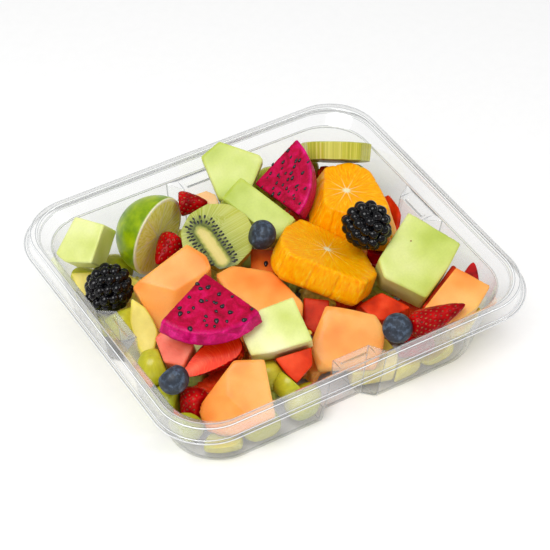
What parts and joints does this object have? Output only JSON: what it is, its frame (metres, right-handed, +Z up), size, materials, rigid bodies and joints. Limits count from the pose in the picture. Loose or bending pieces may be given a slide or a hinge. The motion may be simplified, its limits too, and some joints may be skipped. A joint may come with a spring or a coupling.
{
  "type": "fruit salad in a clear tray",
  "caption": "Mixed cut fruit heaped in a clear oblong plastic tray with a rolled rim and a lug in each side; no lid.",
  "frame": {"origin": "centre of the base, on the plane the tray rests on", "axes": "+X along the tray's long side, +Z up out of the tray"},
  "size_m": [0.2262, 0.1996, 0.0738],
  "materials": {
    "tray": "clear thermoformed sheet",
    "honeydew": "moist melon flesh",
    "cantaloupe": "moist melon flesh",
    "watermelon": "moist grainy flesh",
    "strawberry": "glossy skin with seeds",
    "dragon_fruit": "moist flesh with black seeds",
    "orange": "wet juice sacs",
    "kiwi": "wet flesh with radial seeds",
    "lime": "waxy rind",
    "bramble": "glossy drupelets",
    "blueberry": "dusty bloom",
    "grape": "smooth skin",
    "pineapple": "wet fibrous flesh",
    "papaya": "moist flesh",
    "mixed_fruit": "grapes and chunks of melon and pineapple"
  },
  "bodies": {
    "root": {"blueberry_centre": "blueberry", "blueberry_front": "blueberry", "blueberry_right": "blueberry", "bramble_left": "bramble", "bramble_right": "bramble", "cantaloupe_back": "cantaloupe", "cantaloupe_centre": "cantaloupe", "cantaloupe_front": "cantaloupe", "cantaloupe_left": "cantaloupe", "cantaloupe_middle": "cantaloupe", "cantaloupe_right": "cantaloupe", "dragon_fruit_back": "dragon_fruit", "dragon_fruit_front": "dragon_fruit", "grape_front_left": "grape", "honeydew_back": "honeydew", "honeydew_front": "honeydew", "honeydew_left": "honeydew", "honeydew_middle": "honeydew", "honeydew_right": "honeydew", "kiwi_slice_back": "kiwi", "kiwi_slice_front": "kiwi", "lime_half": "lime", "lower_heap": "mixed_fruit", "orange_back": "orange", "orange_front": "orange", "papaya_bit": "papaya", "pineapple_far": "pineapple", "pineapple_front": "pineapple", "pineapple_left": "pineapple", "strawberry_back": "strawberry", "strawberry_cut": "strawberry", "strawberry_dark": "strawberry", "strawberry_front": "strawberry", "strawberry_lime": "strawberry", "strawberry_low": "strawberry", "strawberry_right": "strawberry", "strawberry_tip": "strawberry", "tray": "tray", "watermelon_back": "watermelon", "watermelon_dark": "watermelon", "watermelon_front": "watermelon", "watermelon_left": "watermelon", "watermelon_middle": "watermelon", "watermelon_sliver": "watermelon"}
  },
  "joints": []
}
